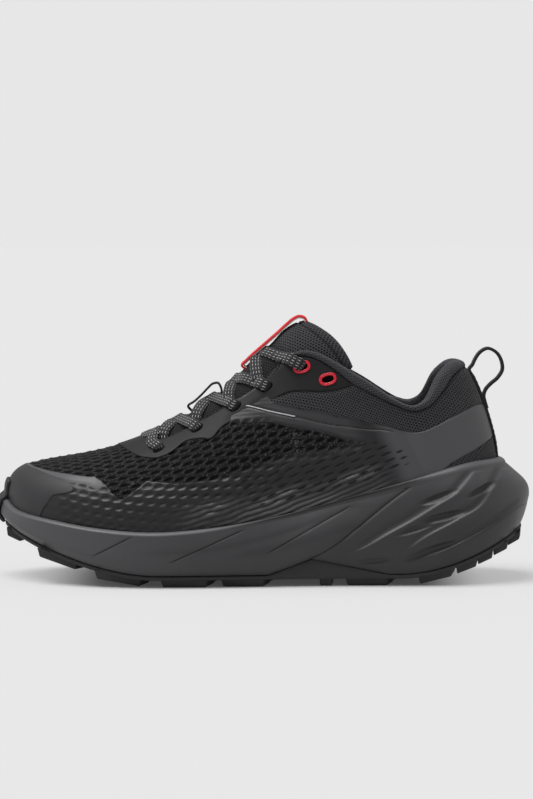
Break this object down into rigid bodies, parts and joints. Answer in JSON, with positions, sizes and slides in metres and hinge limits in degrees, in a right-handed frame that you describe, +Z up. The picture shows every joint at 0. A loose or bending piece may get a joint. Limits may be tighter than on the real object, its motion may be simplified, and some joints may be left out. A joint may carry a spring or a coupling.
{
  "type": "trail running shoe",
  "caption": "Left low-cut trail running shoe: hollow mesh upper with toe cap and eyestay, padded tongue, flat laces, sculpted foam midsole and lugged rubber outsole.",
  "frame": {"origin": "on the floor under the middle of the shoe's bounding box", "axes": "+X to the heel, the toe at -X; -Y to the outer side of the foot; +Z up"},
  "size_m": [0.2993, 0.1124, 0.1474],
  "materials": {
    "upper_mesh": "black engineered mesh",
    "tongue_mesh": "black padded knit mesh",
    "overlay_film": "dark grey satin film",
    "midsole_foam": "dark grey moulded foam",
    "outsole_rubber": "black moulded rubber",
    "insole_cloth": "black cloth over foam",
    "lace": "dark grey flat weave with pale flecks",
    "black_webbing": "black webbing",
    "red_ribbon": "red woven ribbon",
    "eyelet_ring": "red moulded ring"
  },
  "bodies": {
    "root": {"upper": "upper_mesh", "tongue": "tongue_mesh", "toe_cap": "overlay_film", "eyestay": "overlay_film", "heel_band": "overlay_film", "midsole": "midsole_foam", "outsole": "outsole_rubber", "toe_bumper": "outsole_rubber", "insole": "insole_cloth", "laces": "lace", "heel_loop": "black_webbing", "lace_keeper": "black_webbing", "tongue_loop": "red_ribbon", "eyelet_outer_1": "eyelet_ring", "eyelet_outer_2": "eyelet_ring", "eyelet_inner_1": "eyelet_ring", "eyelet_inner_2": "eyelet_ring"}
  },
  "joints": []
}
